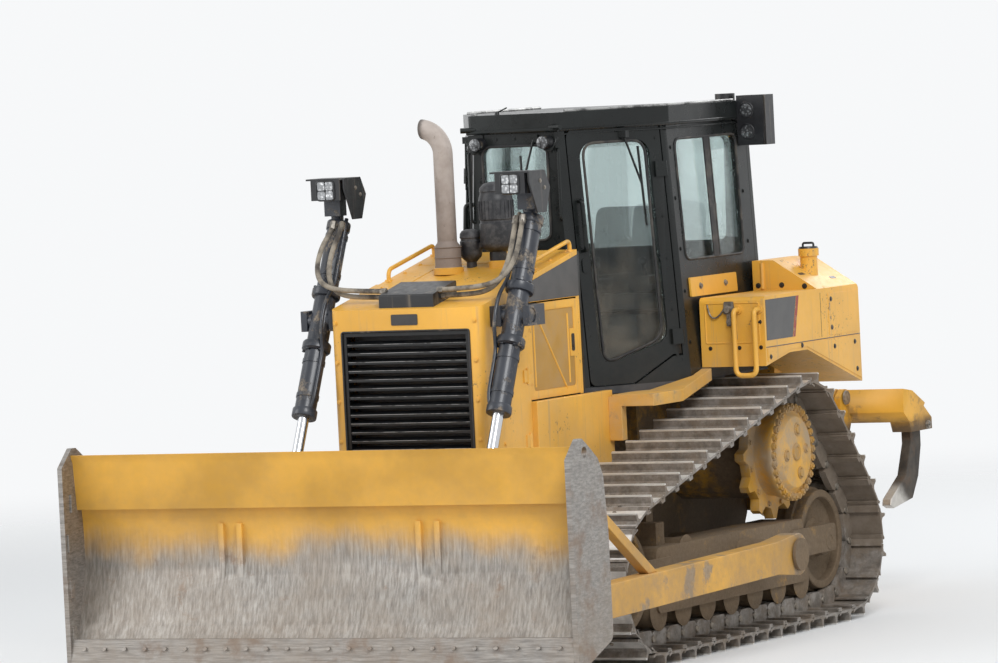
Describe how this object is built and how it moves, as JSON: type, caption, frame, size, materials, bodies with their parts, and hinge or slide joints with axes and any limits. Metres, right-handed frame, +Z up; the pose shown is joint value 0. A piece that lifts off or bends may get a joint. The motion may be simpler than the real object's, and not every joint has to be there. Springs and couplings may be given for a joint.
{
  "type": "bulldozer",
  "caption": "Track-type dozer with a straight blade on push arms, closed glazed cab, louvred radiator guard and a multi-shank ripper on a parallel linkage.",
  "frame": {"origin": "on the ground plane and the machine's middle plane, 3.15 m behind the front of the blade's cutting edge", "axes": "+X to the machine's left, +Y to its rear, so that the blade faces -Y, +Z up"},
  "size_m": [3.23, 6.3, 3.189],
  "materials": {
    "yellow_paint": "worn satin, dusty",
    "black_paint": "satin, dusty",
    "cab_black": "semi-gloss",
    "cutting_steel": "scoured by soil",
    "track_steel": "dusty with bright crests",
    "roller_steel": "dusty",
    "rod_chrome": "polished",
    "hose_rubber": "matt",
    "exhaust_steel": "heat stained, matt",
    "cab_glass": "clear, faintly tinted",
    "seat_fabric": "matt",
    "console_plastic": "matt",
    "lamp_housing": "matt"
  },
  "bodies": {
    "machine": {"main_frame": "yellow_paint", "radiator_guard": "yellow_paint", "hood": "yellow_paint", "side_panels": "yellow_paint", "cylinder_yokes": "yellow_paint", "track_frames": "yellow_paint", "fenders": "yellow_paint", "side_boxes": "yellow_paint", "hand_rails": "yellow_paint", "fuel_tank": "yellow_paint", "ripper_bracket": "yellow_paint", "valve_box": "black_paint", "grille": "black_paint", "engine_block": "black_paint", "radiator_core": "black_paint", "air_intake": "black_paint", "cab_floor": "cab_black", "cab_front": "cab_black", "cab_sides": "cab_black", "cab_rear": "cab_black", "cab_roof": "cab_black", "track_left": "track_steel", "track_right": "track_steel", "rollers": "roller_steel", "sprockets": "roller_steel", "lift_hoses": "hose_rubber", "exhaust_stack": "exhaust_steel", "cab_glass": "cab_glass", "seat": "seat_fabric", "console": "console_plastic", "roof_lamps": "lamp_housing"},
    "blade": {"moldboard": "yellow_paint", "cutting_edge": "cutting_steel", "blade_end_plates": "cutting_steel", "push_arms": "yellow_paint", "blade_braces": "yellow_paint"},
    "lift_barrel_left": {"lift_barrel_left": "black_paint", "work_lamp_left": "black_paint"},
    "lift_barrel_right": {"lift_barrel_right": "black_paint", "work_lamp_right": "black_paint"},
    "lift_rod_left": {"lift_rod_left": "rod_chrome"},
    "lift_rod_right": {"lift_rod_right": "rod_chrome"},
    "cab_door_left": {"cab_door_left": "cab_black", "door_glass_left": "cab_glass"},
    "cab_door_right": {"cab_door_right": "cab_black", "door_glass_right": "cab_glass"},
    "engine_door_left": {"engine_door_left": "yellow_paint"},
    "engine_door_right": {"engine_door_right": "yellow_paint"},
    "ripper_arm": {"ripper_arms": "yellow_paint"},
    "ripper_beam": {"ripper_beam": "yellow_paint", "ripper_shanks": "cutting_steel"},
    "ripper_link": {"ripper_links": "yellow_paint"},
    "ripper_barrel": {"ripper_barrels": "black_paint"},
    "ripper_rod": {"ripper_rods": "rod_chrome"}
  },
  "joints": [
    {"name": "blade_lift", "type": "hinge", "parent": "machine", "child": "blade", "pos_m": [0, 0.1, 0.5], "axis": [-1, 0, 0], "range_deg": [-7.5, 15]},
    {"name": "ripper_lift", "type": "hinge", "parent": "machine", "child": "ripper_arm", "pos_m": [0, 1.78, 0.7], "axis": [1, 0, 0], "range_deg": [-46, 0]},
    {"name": "lift_trunnion_left", "type": "hinge", "parent": "machine", "child": "lift_barrel_left", "pos_m": [0.625, -1.77, 2.03], "axis": [-1, 0, 0], "range_deg": [-4.9, 9.8]},
    {"name": "lift_slide_left", "type": "slide", "parent": "lift_barrel_left", "child": "lift_rod_left", "axis": [0, -0.4419, -0.8971], "range_m": [-0.63, 0.315]},
    {"name": "cab_door_left", "type": "hinge", "parent": "machine", "child": "cab_door_left", "pos_m": [0.73953, 0.16086, 1.53056], "axis": [-0.0591, 0, 0.9983], "range_deg": [0, 90]},
    {"name": "engine_door_left", "type": "hinge", "parent": "machine", "child": "engine_door_left", "pos_m": [0.477, -1.3447, 1.8], "axis": [0, 0, -1], "range_deg": [0, 95]},
    {"name": "lift_trunnion_right", "type": "hinge", "parent": "machine", "child": "lift_barrel_right", "pos_m": [-0.625, -1.77, 2.03], "axis": [-1, 0, 0], "range_deg": [-4.9, 9.8]},
    {"name": "lift_slide_right", "type": "slide", "parent": "lift_barrel_right", "child": "lift_rod_right", "axis": [0, -0.4419, -0.8971], "range_m": [-0.63, 0.315]},
    {"name": "cab_door_right", "type": "hinge", "parent": "machine", "child": "cab_door_right", "pos_m": [-0.73953, 0.16086, 1.53056], "axis": [-0.0591, 0, -0.9983], "range_deg": [0, 90]},
    {"name": "engine_door_right", "type": "hinge", "parent": "machine", "child": "engine_door_right", "pos_m": [-0.477, -1.3447, 1.8], "axis": [0, 0, 1], "range_deg": [0, 95]},
    {"name": "ripper_beam_pivot", "type": "hinge", "parent": "ripper_arm", "child": "ripper_beam", "pos_m": [0, 2.64, 1], "axis": [1, 0, 0], "range_deg": [0, 46.1]},
    {"name": "ripper_link_pivot", "type": "hinge", "parent": "machine", "child": "ripper_link", "pos_m": [0, 1.78, 0.95], "axis": [1, 0, 0], "range_deg": [-46.1, 0]},
    {"name": "ripper_foot_pivot", "type": "hinge", "parent": "machine", "child": "ripper_barrel", "pos_m": [0, 1.78, 1.41197], "axis": [1, 0, 0], "range_deg": [-23.1, 0]},
    {"name": "ripper_slide", "type": "slide", "parent": "ripper_barrel", "child": "ripper_rod", "axis": [0, 0.8649, -0.5019], "range_m": [0, 0.43]}
  ],
  "couplings": [
    {"joint": "lift_trunnion_left", "follows": "blade_lift", "ratio": 0.65},
    {"joint": "lift_slide_left", "follows": "blade_lift", "m_per_rad": -2.38},
    {"joint": "lift_trunnion_right", "follows": "blade_lift", "ratio": 0.65},
    {"joint": "lift_slide_right", "follows": "blade_lift", "m_per_rad": -2.38},
    {"joint": "ripper_beam_pivot", "follows": "ripper_lift", "ratio": -1},
    {"joint": "ripper_link_pivot", "follows": "ripper_lift", "ratio": 1},
    {"joint": "ripper_foot_pivot", "follows": "ripper_lift", "ratio": 0.5},
    {"joint": "ripper_slide", "follows": "ripper_lift", "m_per_rad": -0.5289}
  ]
}
